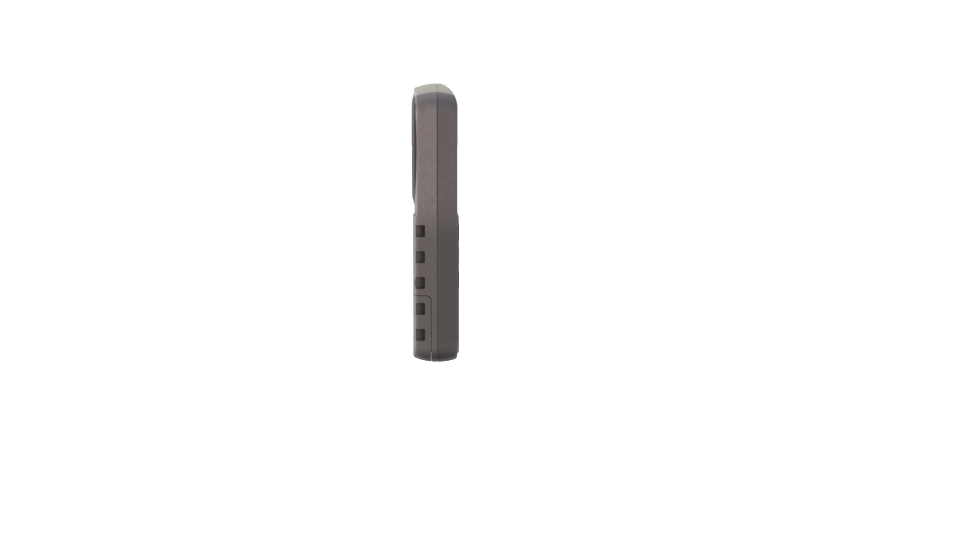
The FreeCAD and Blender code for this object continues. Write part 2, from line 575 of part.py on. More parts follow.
def build_keypad():
    panel = new_body("keypad_panel")
    add(panel, "plate", "-panel_face", "-panel_back",
        lambda s: draw_plate(s, "-panel_half", "panel_half", "panel_bottom", "panel_top",
                             "panel_low_corner - panel_gap", "panel_high_corner - panel_gap"))
    dress(panel, "Fillet", "front_edge",
          lambda e: all(p.y < -number("panel_face") + 0.01 for p in ends(e)), "panel_edge")
    add(panel, "pegs", "-panel_back - 0.2", "-panel_back + peg_length",
        lambda s: [draw_disc(s, x, z, "peg_radius") for x, z in PEGS])
    cut(panel, "windows", "-panel_face - 0.5", "-panel_back + 0.1",
        lambda s: [draw_centred(s, x, z, "key_width + 2*key_gap", "key_height + 2*key_gap", "key_corner")
                   for _, x, z in KEYS])
    cut(panel, "list_recess", "-panel_face - 0.5", "-panel_face + label_depth",
        lambda s: draw_plate(s, "-list_half", "list_half", "list_bottom", "list_top",
                             "list_corner", "list_corner"))
    publish(panel, "keypad_panel")

    sounds = new_body("sound_list")
    add(sounds, "plate", "-panel_face + 0.05", "-panel_face + label_depth",
        lambda s: draw_plate(s, "label_gap - list_half", "list_half - label_gap", "list_bottom + label_gap",
                             "list_top - label_gap", "list_corner - label_gap", "list_corner - label_gap"))
    publish(sounds, "sound_list")

    for name, x, z in KEYS:
        key = new_body(name, x, z)
        add(key, "cap", "-key_face", "-flange_front",
            lambda s: draw_centred(s, "0", "0", "key_width", "key_height", "key_corner - key_gap"))
        dress(key, "Fillet", "cap_edge",
              lambda e: all(p.y < -number("key_face") + 0.01 for p in ends(e)), "key_edge")
        add(key, "flange", "-flange_front", "-flange_back",
            lambda s: draw_centred(s, "0", "0", "flange_width", "flange_height", "flange_corner"))
        publish(key, name)

    mat = new_body("keypad_mat")
    add(mat, "sheet", "-mat_front", "-board_front",
        lambda s: draw_plate(s, "-mat_half", "mat_half", "mat_bottom", "mat_top", "2", "2"))
    cut(mat, "dome_seats", "-mat_front - 0.1", "-board_front + 0.1",
        lambda s: [draw_disc(s, x, z, "dome_radius + 0.02") for _, x, z in KEYS])
    cut(mat, "post_hole", "-mat_front - 0.1", "-board_front + 0.1",
        lambda s: draw_disc(s, "0", "post_middle", "post_radius + 0.3"))
    publish(mat, "keypad_mat")

    domes = []
    for name, x, z in KEYS:
        dome = new_body("dome_under_" + name, x, z)
        turn(dome, "web", [
            ("0", "-flange_back + 0.01"), ("plunger_radius", "-flange_back + 0.01"),
            ("dome_radius", "-mat_front + 0.2"), ("dome_radius", "-board_front"),
            ("dome_radius - dome_web", "-board_front"), ("dome_radius - dome_web", "-mat_front + 0.3"),
            ("plunger_radius - 0.1", "-flange_back + 0.3"), ("pill_radius", "-flange_back + 0.3"),
            ("pill_radius", "-mat_front + 0.15"), ("0", "-mat_front + 0.15")])
        domes.append(dome)
    group = doc.addObject("Part::Compound", "keypad_domes")
    group.Links = domes
    publish(group, "keypad_domes")

    label = new_body("front_label")
    add(label, "plate", "-front_depth", "-front_depth + label_depth",
        lambda s: draw_plate(s, "label_gap - label_half", "label_half - label_gap",
                             "label_bottom + label_gap", "label_top - label_gap",
                             "(label_top - label_bottom)/2 - 0.2", "(label_top - label_bottom)/2 - 0.2"))
    cut(label, "rings", "-front_depth - 0.1", "-front_depth + 0.15",
        lambda s: [draw_disc(s, "0", "(label_bottom + label_top)/2", str(r)) for r in (2.5, 5, 6, 8, 9, 11)])
    publish(label, "front_label")


# ---------------------------------------------------------------- circuit board

def block(name, x, z, width, height, y0, y1):
    """Rectangular component between two depths."""
    body = new_body(name, x, z)
    add(body, "block", y0, y1, lambda s: draw_centred(s, "0", "0", width, height, "0.15"))
    return publish(body, name)


def build_board():
    posts = [("post_across", "post_height"), ("-post_across", "post_height"), ("0", "post_middle")]
    board = new_body("main_board")
    add(board, "sheet", "-board_front", "-board_back",
        lambda s: draw_plate(s, "-board_half", "board_half", "board_bottom", "board_top", "1", "1"))
    cut(board, "screw_holes", "-board_front - 0.1", "-board_back + 0.1",
        lambda s: [draw_disc(s, x, z, "board_screw + 0.2") for x, z in posts])
    publish(board, "main_board")

    block("processor_chip", "0", "58", "7", "7", "-board_back", "-board_back + 1.2")
    block("memory_chip", "-12", "52", "6", "5", "-board_back", "-board_back + 1")
    block("amplifier_chip", "11", "60", "5", "4", "-board_back", "-board_back + 1.5")
    block("crystal", "-11", "62", "8", "3.6", "-board_back", "-board_back + 2")
    block("status_lamp", "0", "lamp_height", "1.8", "1.2", "-board_front - 0.8", "-board_front")

    resistors = new_body("resistors")
    add(resistors, "blocks", "-board_back", "-board_back + 0.5",
        lambda s: [draw_box(s, "%s" % (x - 0.8), "%s" % (x + 0.8), "%s" % (z - 0.4), "%s" % (z + 0.4))
                   for x in (-8.0, 8.0) for z in (40.0, 42.0, 44.0)])
    publish(resistors, "resistors")

    capacitor = new_body("capacitor", "12", "50")
    turn(capacitor, "can", [
        ("0", "-board_back"), ("2.5", "-board_back"), ("2.5", "-board_back + 0.8"),
        ("2.3", "-board_back + 1"), ("2.3", "-board_back + 1.2"), ("2.5", "-board_back + 1.4"),
        ("2.5", "-board_back + 5.3"), ("2.2", "-board_back + 5.6"), ("0", "-board_back + 5.6")])
    publish(capacitor, "capacitor")

    screws = new_body("board_screws")
    add(screws, "shanks", "-front_inner + 0.5", "-board_back",
        lambda s: [draw_disc(s, x, z, "board_screw") for x, z in posts])
    add(screws, "heads", "-board_back", "-board_back + 1.1",
        lambda s: [draw_disc(s, x, z, "board_screw_head") for x, z in posts])
    cut(screws, "drive_recess", "-board_back + 0.5", "-board_back + 1.2",
        lambda s: [draw_cross(s, x, z, "1.0", "0.25") for x, z in posts])
    publish(screws, "board_screws")

    lens = new_body("lamp_lens", "0", "lamp_height")
    turn(lens, "lens", [("0", "-front_depth - 0.1"), ("lens_radius - 0.3", "-front_depth - 0.1"),
                        ("lens_radius", "-front_depth + 0.15"), ("lens_radius", "-front_inner"),
                        ("lens_radius + 0.7", "-front_inner"), ("lens_radius + 0.7", "-front_inner + 0.7"),
                        ("0", "-front_inner + 0.7")])
    publish(lens, "lamp_lens")


def draw_cross(sketch, x, z, reach, half):
    """Cross shape for a screw's drive recess."""
    far, back = "-" + reach, "-" + half
    corners = [(reach, back), (reach, half), (half, half), (half, reach), (back, reach), (back, half),
               (far, half), (far, back), (back, back), (back, far), (half, far), (half, back)]
    draw_polygon(sketch, [("%s + (%s)" % (x, a), "%s + (%s)" % (z, b)) for a, b in corners])


# ---------------------------------------------------------------- loudspeaker

SPEAKER_SCREWS = [("speaker_screw_ring*cos(%d)" % a, "speaker_height + speaker_screw_ring*sin(%d)" % a)
                  for a in (90, 210, 330)]


def turned_part(name, points):
    body = new_body(name, "0", "speaker_height")
    turn(body, "profile", points)
    return publish(body, name)


def build_speaker():
    cover = new_body("speaker_cover", "0", "speaker_height")
    turn(cover, "shell", [
        ("0", "cover_inner"), ("spigot_inner", "cover_inner"), ("spigot_inner", "spigot_front"),
        ("spigot_radius", "spigot_front"), ("spigot_radius", "cover_seat"), ("cover_radius", "cover_seat"),
        ("cover_radius", "cover_rim - 0.2"), ("cover_radius - 0.3", "cover_rim"),
        ("cover_flat + 1.4", "cover_face - 0.15"), ("cover_flat", "cover_face"), ("0", "cover_face")])

    def draw_slots(sketch):
        for k in range(-3, 4):
            reach = "sqrt(slot_reach^2 - (%d*slot_pitch + slot_height/2)^2)" % abs(k)
            draw_plate(sketch, "-" + reach, reach, "%d*slot_pitch - slot_height/2" % k,
                       "%d*slot_pitch + slot_height/2" % k, "slot_height/2.2", "slot_height/2.2")

    cut(cover, "sound_slots", "cover_inner - 0.1", "cover_face + 0.1", draw_slots)
    publish(cover, "speaker_cover")

    turned_part("grille_cloth", [
        ("0", "cloth_front"), ("cloth_radius", "cloth_front"),
        ("cloth_radius", "cloth_back"), ("0", "cloth_back")])
    turned_part("speaker_gasket", [
        ("gasket_inner", "speaker_face"), ("speaker_radius", "speaker_face"),
        ("speaker_radius", "rear_inner"), ("gasket_inner", "rear_inner")])
    turned_part("speaker_frame", [
        ("speaker_radius", "speaker_face"), ("speaker_radius", "speaker_face - speaker_sheet"),
        ("speaker_radius - 2.6", "speaker_face - speaker_sheet"), ("magnet_radius + 0.6", "plate_face"),
        ("gap_radius", "plate_face"), ("gap_radius", "plate_face + 0.5"),
        ("magnet_radius + 0.3", "plate_face + 0.5"), ("speaker_radius - 3", "speaker_face")])
    turned_part("speaker_surround", [
        ("16.5", "speaker_face"), ("16.5", "speaker_face + 0.3"), ("15.7", "speaker_face + 0.3"),
        ("15.3", "speaker_face + 0.8"), ("14.6", "speaker_face + 1"), ("13.9", "speaker_face + 0.8"),
        ("13.5", "speaker_face + 0.3"), ("cone_radius - 0.5", "speaker_face + 0.3"),
        ("cone_radius - 0.5", "speaker_face"), ("13.75", "speaker_face"), ("14.1", "speaker_face + 0.55"),
        ("14.6", "speaker_face + 0.72"), ("15.1", "speaker_face + 0.55"), ("15.45", "speaker_face")])
    turned_part("speaker_cone", [
        ("cone_radius", "speaker_face"), ("cone_radius", "speaker_face - 0.3"),
        ("cone_radius - 0.6", "speaker_face - 0.4"), ("coil_radius", "cone_foot"),
        ("coil_radius", "cone_foot + 0.4"), ("cone_radius - 0.7", "speaker_face")])
    turned_part("dust_cap", [
        ("0", "5.4"), ("3", "5.2"), ("5.4", "4.6"), ("7.4", "3.8"),
        ("7", "3.6"), ("5.2", "4.3"), ("3", "4.9"), ("0", "5.1")])
    turned_part("voice_coil", [
        ("coil_radius - coil_wall", "-coil_end"), ("coil_radius", "-coil_end"),
        ("coil_radius", "cone_foot"), ("coil_radius - coil_wall", "cone_foot")])
    turned_part("speaker_magnet", [
        ("magnet_bore", "-magnet_depth"), ("magnet_radius", "-magnet_depth"),
        ("magnet_radius", "0"), ("magnet_bore", "0")])
    turned_part("speaker_plate", [
        ("gap_radius", "0"), ("plate_radius", "0"),
        ("plate_radius", "plate_face"), ("gap_radius", "plate_face")])
    turned_part("speaker_yoke", [
        ("0", "-yoke_depth"), ("plate_radius", "-yoke_depth"), ("plate_radius", "-magnet_depth"),
        ("pole_radius", "-magnet_depth"), ("pole_radius", "plate_face"), ("0", "plate_face")])

    screws = new_body("speaker_screws")
    top = "speaker_face - speaker_sheet"
    add(screws, "heads", top + " - 1.2", top,
        lambda s: [draw_disc(s, x, z, "speaker_screw_head") for x, z in SPEAKER_SCREWS])
    add(screws, "shanks", top, "cover_seat - 0.6",
        lambda s: [draw_disc(s, x, z, "speaker_screw") for x, z in SPEAKER_SCREWS])
    publish(screws, "speaker_screws")


# ---------------------------------------------------------------- batteries and fasteners

def build_batteries():
    for name, z, angle in (("battery_cell_lower", "cell_low", 0), ("battery_cell_upper", "cell_high", 180)):
        cell = doc.addObject("PartDesign::Body", name)
        cell.Placement = FreeCAD.Placement(V(0, 0, 0), FreeCAD.Rotation(V(0, 0, 1), angle))
        cell.setExpression("Placement.Base.y", size("frame_shift + cell_depth"))
        cell.setExpression("Placement.Base.z", size(z))
        sketch = sketch_on(cell, "XY_Plane", "profile", "0")
        draw_polygon(sketch, [
            ("-cell_half", "0"), ("cell_half", "0"), ("cell_half", "cell_nub"),
            ("cell_half - cell_nub_length", "cell_nub"), ("cell_half - cell_nub_length", "cell_radius - 0.4"),
            ("cell_half - cell_nub_length - 0.4", "cell_radius"), ("0.3 - cell_half", "cell_radius"),
            ("-cell_half", "cell_radius - 0.3")])
        can = cell.newObject("PartDesign::Revolution", "can")
        can.Profile = sketch
        can.ReferenceAxis = (sketch, ["H_Axis"])
        can.Angle = 360
        publish(cell, name)

    inner = "bay_half - bay_wall"
    contacts = new_body("battery_contacts")

    def draw_plates(sketch):
        for z in ("cell_low", "cell_high"):
            for a, b in ((inner + " - contact_thickness", inner),
                         ("-(%s)" % inner, "contact_thickness - (%s)" % inner)):
                draw_box(sketch, a, b, z + " - contact_half", z + " + contact_half")

    add(contacts, "plates", "cell_depth - contact_half", "cell_depth + contact_half", draw_plates)

    def draw_bumps(sketch):
        draw_box(sketch, "cell_half + 0.03", inner + " - 0.1", "cell_low - 2", "cell_low + 2")
        draw_box(sketch, "0.1 - (%s)" % inner, "-cell_half - 0.03", "cell_high - 2", "cell_high + 2")

    add(contacts, "bumps", "cell_depth - 2", "cell_depth + 2", draw_bumps)

    def draw_tails(sketch):
        for a, b in ((inner + " - contact_thickness - 0.02", inner + " - 0.05"),
                     ("0.05 - (%s)" % inner, "contact_thickness + 0.02 - (%s)" % inner)):
            draw_box(sketch, a, b, "cell_high", "bay_top + 1.6")

    add(contacts, "tails", "-tail_front", "-tail_front + tail_width", draw_tails)
    publish(contacts, "battery_contacts")

    seat = "%s - contact_thickness - spring_wire - 0.02" % inner
    for name, x, z, angle in (("battery_spring_lower", "-(%s)" % seat, "cell_low", 90),
                              ("battery_spring_upper", seat, "cell_high", -90)):
        spring = doc.addObject("PartDesign::Body", name)
        spring.Placement = FreeCAD.Placement(V(0, 0, 0), FreeCAD.Rotation(V(0, 1, 0), angle))
        spring.setExpression("Placement.Base.x", size(x))
        spring.setExpression("Placement.Base.y", size("frame_shift + cell_depth"))
        spring.setExpression("Placement.Base.z", size(z))
        sketch = sketch_on(spring, "XZ_Plane", "wire", "0")
        draw_disc(sketch, "spring_radius", "0", "spring_wire")
        coil = spring.newObject("PartDesign::AdditiveHelix", "coil")
        coil.Profile = sketch
        coil.ReferenceAxis = (sketch, ["V_Axis"])
        coil.Mode = "pitch-height-angle"
        coil.setExpression("Pitch", size("spring_pitch"))
        coil.setExpression("Height", size("%s - cell_half - spring_wire - 0.04" % seat))
        publish(spring, name)


def cable(name, runs):
    """Round wires swept along smooth paths."""
    solids = []
    radius = number("wire_radius")
    shift = number("frame_shift")
    for points in runs:
        path = Part.BSplineCurve()
        path.interpolate([V(x, y + shift, z) for x, y, z in points])
        edge = path.toShape()
        start = edge.valueAt(edge.FirstParameter)
        direction = edge.tangentAt(edge.FirstParameter)
        ring = Part.Wire(Part.makeCircle(radius, start, direction))
        solids.append(Part.Wire(edge).makePipeShell([ring], True, False))
    item = doc.addObject("Part::Feature", name)
    item.Shape = Part.makeCompound(solids)
    publish(item, name)


def build_wires():
    back = -number("board_back") + number("wire_radius") + 0.02
    cable("battery_wires", [
        [(side * 24.6, -1.7, 32.0), (side * 22.6, -2.3, 32.2),
         (side * 20.2, -2.7, 34.2), (side * 18.0, back, 37.5)] for side in (1, -1)])
    speaker = number("speaker_height")
    cable("speaker_wires", [
        [(side * 4.0, 0.55, speaker - 12.7), (side * 4.3, 0.2, speaker - 15.5),
         (side * 4.0, -1.6, speaker - 18.5), (side * 3.0, back, 70.0)] for side in (1, -1)])


def build_case_screws():
    screws = new_body("case_screws")
    add(screws, "shanks", "-shank_end", "head_seat",
        lambda s: [draw_disc(s, x, z, "shank_radius") for x, z in SCREWS])
    add(screws, "heads", "head_seat", "head_seat + head_height",
        lambda s: [draw_disc(s, x, z, "head_radius") for x, z in SCREWS])
    cut(screws, "drive_recess", "head_seat + 0.6", "head_seat + head_height + 0.1",
        lambda s: [draw_cross(s, x, z, "1.2", "0.3") for x, z in SCREWS])
    publish(screws, "case_screws")


build_front_shell()
build_keypad()
build_board()
build_rear_shell()
build_speaker()
build_batteries()
build_wires()
build_case_screws()
build_battery_door()
doc.recompute()

for item in doc.Objects:
    if "Invalid" in item.State or "Error" in item.State:
        raise RuntimeError("%s is %s" % (item.Label, item.State))
for item in PARTS:
    if item.Shape.isNull() or not item.Shape.isValid():
        raise RuntimeError("%s has no valid shape" % item.Label)

os.makedirs("parts", exist_ok=True)
for item in PARTS:
    item.Shape.exportStep("parts/%s.step" % item.Label)
    print("%-22s solids %2d volume %9.2f" % (item.Label, len(item.Shape.Solids), item.Shape.Volume))
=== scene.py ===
import math

import bmesh
import bpy
from mathutils import Matrix, Vector


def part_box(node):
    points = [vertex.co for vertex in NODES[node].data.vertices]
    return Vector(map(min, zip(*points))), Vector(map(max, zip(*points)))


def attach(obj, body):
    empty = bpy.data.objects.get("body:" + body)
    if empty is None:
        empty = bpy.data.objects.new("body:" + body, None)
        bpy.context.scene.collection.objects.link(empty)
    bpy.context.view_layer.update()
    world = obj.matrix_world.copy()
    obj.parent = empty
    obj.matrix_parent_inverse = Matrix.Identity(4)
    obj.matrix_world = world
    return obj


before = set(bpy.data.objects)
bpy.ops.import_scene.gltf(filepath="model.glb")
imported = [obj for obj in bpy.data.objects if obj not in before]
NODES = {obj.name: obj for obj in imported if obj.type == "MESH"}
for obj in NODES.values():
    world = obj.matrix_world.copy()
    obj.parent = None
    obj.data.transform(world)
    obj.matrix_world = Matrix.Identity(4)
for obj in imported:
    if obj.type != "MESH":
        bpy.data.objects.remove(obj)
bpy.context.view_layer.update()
MM = 0.001

# Places that the looks are lined up with, in metres, in the CAD frame. The device stands along Z with its
# keypad side facing -Y.
PARTING_Y = -0.75 * MM           # the line between the two case halves
CASE_HALF = 29.0 * MM            # half the case's width
NOTCH_FLOOR = 27.4 * MM          # |x| of the flat floor of each grip notch
NOTCH_FRONT = 5.3 * MM + PARTING_Y
NOTCH_LOWEST = 13.6 * MM         # middle of the lowest notch
NOTCH_PITCH = 11.1 * MM
LABEL_MIDDLE = 89.5 * MM         # height of the front inlay's middle
LOWER_SHADE_TOP = 62.0 * MM             # painted shade darkens the case below this
TOP_HIGHLIGHT_FROM = 117.0 * MM         # a painted highlight makes the top end pale above this
BACK_EDGE_SHADE_LINE = 7.9 * MM              # y of the fine line of painted shade along each edge of the back
FLOOR_HEIGHT = -38.0 * MM        # below the battery door when it has slid off
FLOOR_HALF = 30.0


# ---------------------------------------------------------------- node helpers

class Shader:
    """Small wrapper that adds and links shader nodes."""

    def __init__(self, name):
        self.material = bpy.data.materials.new(name)
        self.material.use_nodes = True
        self.tree = self.material.node_tree
        self.tree.nodes.clear()
        self.output = self.tree.nodes.new("ShaderNodeOutputMaterial")
        self.surface = self.tree.nodes.new("ShaderNodeBsdfPrincipled")
        self.link(self.surface.outputs[0], self.output.inputs["Surface"])
        self.place = self.tree.nodes.new("ShaderNodeTexCoord").outputs["Object"]

    def link(self, a, b):
        self.tree.links.new(a, b)

    def put(self, socket, value):
        if hasattr(value, "is_output"):
            self.link(value, socket)
        else:
            socket.default_value = value

    def node(self, kind, **inputs):
        n = self.tree.nodes.new("ShaderNode" + kind)
        for key, value in inputs.items():
            self.put(n.inputs[key], value)
        return n

    def math(self, operation, *values):
        n = self.tree.nodes.new("ShaderNodeMath")
        n.operation = operation
        for k, value in enumerate(values):
            self.put(n.inputs[k], value)
        return n.outputs[0]

    def axes(self):
        split = self.node("SeparateXYZ", Vector=self.place)
        return split.outputs[0], split.outputs[1], split.outputs[2]

    def stretched(self, x, y, z):
        n = self.node("Mapping", Vector=self.place)
        n.inputs["Scale"].default_value = (x, y, z)
        return n.outputs[0]

    def noise(self, scale, detail=4.0, rough=0.55, vector=None):
        n = self.node("TexNoise", Vector=vector or self.place, Scale=scale, Detail=detail, Roughness=rough)
        return n.outputs["Fac"]

    def cells(self, scale, vector=None):
        n = self.node("TexVoronoi", Vector=vector or self.place, Scale=scale)
        return n.outputs["Distance"]

    def ramp(self, value, low, high, to_low=0.0, to_high=1.0):
        n = self.tree.nodes.new("ShaderNodeMapRange")
        n.interpolation_type = "SMOOTHSTEP"
        self.put(n.inputs["Value"], value)
        limits = {"From Min": low, "From Max": high, "To Min": to_low, "To Max": to_high}
        for key, number in limits.items():
            self.put(n.inputs[key], number)
        return n.outputs[0]

    def mix(self, fac, a, b):
        n = self.tree.nodes.new("ShaderNodeMix")
        n.data_type = "RGBA"
        self.put(n.inputs[0], fac)
        for socket, value in ((n.inputs[6], a), (n.inputs[7], b)):
            self.put(socket, (*value, 1.0) if isinstance(value, tuple) and len(value) == 3 else value)
        return n.outputs[2]

    def bump(self, height, strength, distance):
        return self.node("Bump", Height=height, Strength=strength, Distance=distance).outputs[0]

    def finish(self, color=None, rough=None, normal=None, **sockets):
        for key, value in (("Base Color", color), ("Roughness", rough), ("Normal", normal)):
            if value is not None:
                if isinstance(value, tuple) and len(value) == 3:
                    value = (*value, 1.0)
                self.put(self.surface.inputs[key], value)
        for key, value in sockets.items():
            self.put(self.surface.inputs[key.replace("_", " ")], value)
        return self.material


def near(sh, value, centre, half, soft):
    """1 where value lies within half of centre."""
    return sh.ramp(sh.math("ABSOLUTE", sh.math("SUBTRACT", value, centre)), half, half + soft, 1.0, 0.0)


# ---------------------------------------------------------------- materials

def shade(base, factor):
    """A colour made lighter or darker."""
    return tuple(min(1.0, c * factor) for c in base)


def in_notches(sh, x, y, z):
    """1 where shade is painted into the grip notches: on their floors and inner walls, strongest at their
    front ends.
    """
    width = sh.math("ABSOLUTE", x)
    deep = sh.math("MULTIPLY", sh.ramp(width, NOTCH_FLOOR - 0.1 * MM, NOTCH_FLOOR + 1.1 * MM, 1.0, 0.0),
                   sh.ramp(width, NOTCH_FLOOR - 0.3 * MM, NOTCH_FLOOR - 0.2 * MM))
    step = sh.math("DIVIDE", sh.math("SUBTRACT", z, NOTCH_LOWEST), NOTCH_PITCH)
    turn = sh.math("ABSOLUTE", sh.math("SUBTRACT", step, sh.math("ROUND", step)))
    rows = sh.math("MULTIPLY", near(sh, step, 2.0, 2.4, 0.02), sh.ramp(turn, 0.235, 0.245, 1.0, 0.0))
    open_end = sh.ramp(y, NOTCH_FRONT + 0.8 * MM, NOTCH_FRONT + 3.4 * MM, 1.0, 0.45)
    reach = sh.math("MULTIPLY", open_end, sh.ramp(y, NOTCH_FRONT - 0.1 * MM, NOTCH_FRONT))
    return sh.math("MULTIPLY", sh.math("MULTIPLY", deep, rows), reach)


def painted_case_light(sh, color, base):
    """Painted light on the case: painted shade in the notches, in the seam, along the back edges, over the
    lower half and on the foot, a painted highlight beside the seam and on the top end, and a painted
    reflection band below the top end.

    Returns the colour and a 0 to 1 map of the painted shade in the notches and on the foot, where the shine
    is lowered."""
    x, y, z = sh.axes()
    # Painted shade inside the grip notches, darkest at their front ends.
    notch_shade = in_notches(sh, x, y, z)
    color = sh.mix(notch_shade, color, (0.003, 0.003, 0.0035))
    # Painted shade in the seam between the case halves.
    seam = near(sh, y, PARTING_Y, 0.22 * MM, 0.04 * MM)
    color = sh.mix(sh.math("MULTIPLY", seam, 0.8), color, (0.012, 0.011, 0.011))
    # Painted highlight on the lit lip just in front of the seam, along the middle of the case's height.
    seam_lip_highlight = sh.math("MULTIPLY", near(sh, y, PARTING_Y - 0.5 * MM, 0.12 * MM, 0.1 * MM),
                      near(sh, z, 35.0 * MM, 16.0 * MM, 8.0 * MM))
    color = sh.mix(sh.math("MULTIPLY", seam_lip_highlight, 0.4), color, shade(base, 2.2))
    # Painted shade along each edge of the back.
    edge = sh.ramp(sh.math("ABSOLUTE", x), 27.0 * MM, 27.5 * MM)
    back_edge_shade = sh.math("MULTIPLY", near(sh, y, BACK_EDGE_SHADE_LINE, 0.14 * MM, 0.1 * MM), edge)
    color = sh.mix(sh.math("MULTIPLY", back_edge_shade, 0.55), color, (0.03, 0.025, 0.025))
    drift = sh.math("MULTIPLY", sh.noise(45.0, 3.0, 0.5), 6.0 * MM)
    height = sh.math("ADD", z, drift)
    # Painted shade over the lower half of the case, its upper edge wandering with the noise above.
    grip = sh.ramp(height, LOWER_SHADE_TOP - 8.0 * MM, LOWER_SHADE_TOP + 14.0 * MM, 0.75, 0.0)
    color = sh.mix(grip, color, tuple(c * k for c, k in zip(base, (0.34, 0.355, 0.36))))
    # Painted shade on the foot, the lowest few millimetres of the case.
    foot = sh.ramp(z, 1.5 * MM, 9.5 * MM, 0.92, 0.0)
    color = sh.mix(foot, color, (0.004, 0.004, 0.004))
    crown = sh.math("ADD", z, sh.math("MULTIPLY", sh.math("MULTIPLY", y, y), 25.0))
    # Painted reflection: a dark bluish band just below the top end.
    painted_reflection_band = sh.ramp(crown, TOP_HIGHLIGHT_FROM - 8.0 * MM, TOP_HIGHLIGHT_FROM - 3.0 * MM, 0.0, 0.6)
    color = sh.mix(painted_reflection_band, color, (0.038, 0.041, 0.054))
    # Painted highlight on the top end, a little patchy.
    cap = sh.ramp(crown, TOP_HIGHLIGHT_FROM, TOP_HIGHLIGHT_FROM + 1.0 * MM)
    top_highlight = sh.math("MULTIPLY", cap, sh.ramp(drift, 2.0 * MM, 3.6 * MM, 0.8, 0.95))
    color = sh.mix(top_highlight, color, (0.205, 0.192, 0.172))
    return color, sh.math("MAXIMUM", notch_shade, foot)


def grained_plastic(name, base, with_painted_light=True, grain=2600.0, depth=0.00006, rough=0.56, shine=0.4):
    """Moulded plastic with a fine spark-eroded grain, mottling, flow shading and smudges, and on the case
    painted shade, highlights and a reflection band.
    """
    sh = Shader(name)
    pits = sh.noise(grain, 3.0, 0.6)
    coarse = sh.noise(grain * 0.28, 2.0, 0.5)
    mottle = sh.noise(grain * 0.22, 3.0, 0.6)
    flow = sh.noise(60.0, 3.0, 0.5, sh.stretched(1.0, 1.0, 0.25))
    smudge = sh.noise(170.0, 5.0, 0.62)
    color = sh.mix(sh.ramp(pits, 0.32, 0.68), shade(base, 0.7), shade(base, 1.35))
    color = sh.mix(sh.ramp(mottle, 0.3, 0.7, 0.0, 0.4), color, shade(base, 0.6))
    color = sh.mix(sh.ramp(flow, 0.35, 0.7, 0.0, 0.35), color, shade(base, 1.18))
    color = sh.mix(sh.ramp(smudge, 0.6, 0.78, 0.0, 0.22), color, shade(base, 1.6))
    # On the case: painted shade, highlights and a reflection band, with less shine in the painted shade of
    # the notches and foot.
    if with_painted_light:
        color, dulled = painted_case_light(sh, color, base)
        shine = sh.ramp(dulled, 0.0, 1.0, shine, 0.03)
    height = sh.math("ADD", sh.math("MULTIPLY", pits, 0.7), sh.math("MULTIPLY", coarse, 0.5))
    roughness = sh.math("ADD", sh.ramp(pits, 0.3, 0.7, rough - 0.07, rough + 0.09),
                        sh.ramp(smudge, 0.58, 0.8, 0.0, -0.1))
    sh.finish(color, roughness, sh.bump(height, 0.55, depth), Specular_IOR_Level=shine)
    return sh.material


def soft_key(name, base):
    """Silicone-coated key: dusty bloom on the face, with uneven gloss."""
    sh = Shader(name)
    fine = sh.noise(3800.0, 3.0, 0.6)
    bloom = sh.noise(420.0, 5.0, 0.6)
    color = sh.mix(sh.ramp(fine, 0.3, 0.7), shade(base, 0.82), shade(base, 1.15))
    color = sh.mix(sh.ramp(bloom, 0.52, 0.75, 0.0, 0.3), color, tuple(min(1, c * 1.5 + 0.02) for c in base))
    sh.finish(color, sh.ramp(bloom, 0.3, 0.7, 0.42, 0.62), sh.bump(fine, 0.4, 0.00003))
    return sh.material


def print_ink(name, base):
    """Screen-printed ink with small pinholes and a slightly uneven edge of thickness."""
    sh = Shader(name)
    fine = sh.noise(5200.0, 4.0, 0.6)
    wide = sh.noise(600.0, 3.0, 0.6)
    color = sh.mix(sh.ramp(fine, 0.25, 0.42), shade(base, 0.55), base)
    color = sh.mix(sh.ramp(wide, 0.5, 0.8, 0.0, 0.25), color, shade(base, 0.8))
    sh.finish(color, sh.ramp(wide, 0.3, 0.7, 0.38, 0.52), sh.bump(fine, 0.3, 0.00001))
    return sh.material


def metal(name, base, rough, streak, scale):
    """Plated or drawn metal with fine tool marks along one direction and a few stains."""
    sh = Shader(name)
    marks = sh.noise(scale, 4.0, 0.6, sh.stretched(*streak))
    stains = sh.noise(260.0, 4.0, 0.55)
    color = sh.mix(sh.ramp(marks, 0.3, 0.7), shade(base, 0.86), base)
    color = sh.mix(sh.ramp(stains, 0.6, 0.8, 0.0, 0.3), color, shade(base, 0.6))
    roughness = sh.ramp(marks, 0.3, 0.7, rough - 0.06, rough + 0.1)
    sh.finish(color, roughness, sh.bump(marks, 0.25, 0.00002), Metallic=1.0)
    return sh.material


def woven(name, base, pitch):
    """Cloth: two crossed sets of threads seen along Y, with fuzz."""
    sh = Shader(name)
    x, y, z = sh.axes()
    warp = sh.math("SINE", sh.math("MULTIPLY", x, 2 * math.pi / pitch))
    weft = sh.math("SINE", sh.math("MULTIPLY", z, 2 * math.pi / pitch))
    weave = sh.math("MULTIPLY", sh.math("ADD", sh.math("MULTIPLY", warp, weft), 1.0), 0.5)
    fuzz = sh.noise(4200.0, 4.0, 0.65)
    color = sh.mix(weave, shade(base, 0.45), shade(base, 1.7))
    color = sh.mix(sh.ramp(fuzz, 0.55, 0.8, 0.0, 0.4), color, shade(base, 2.4))
    height = sh.math("ADD", weave, sh.math("MULTIPLY", fuzz, 0.3))
    sh.finish(color, sh.ramp(fuzz, 0.3, 0.7, 0.75, 0.95), sh.bump(height, 0.6, 0.0001), Sheen_Weight=0.2)
    return sh.material


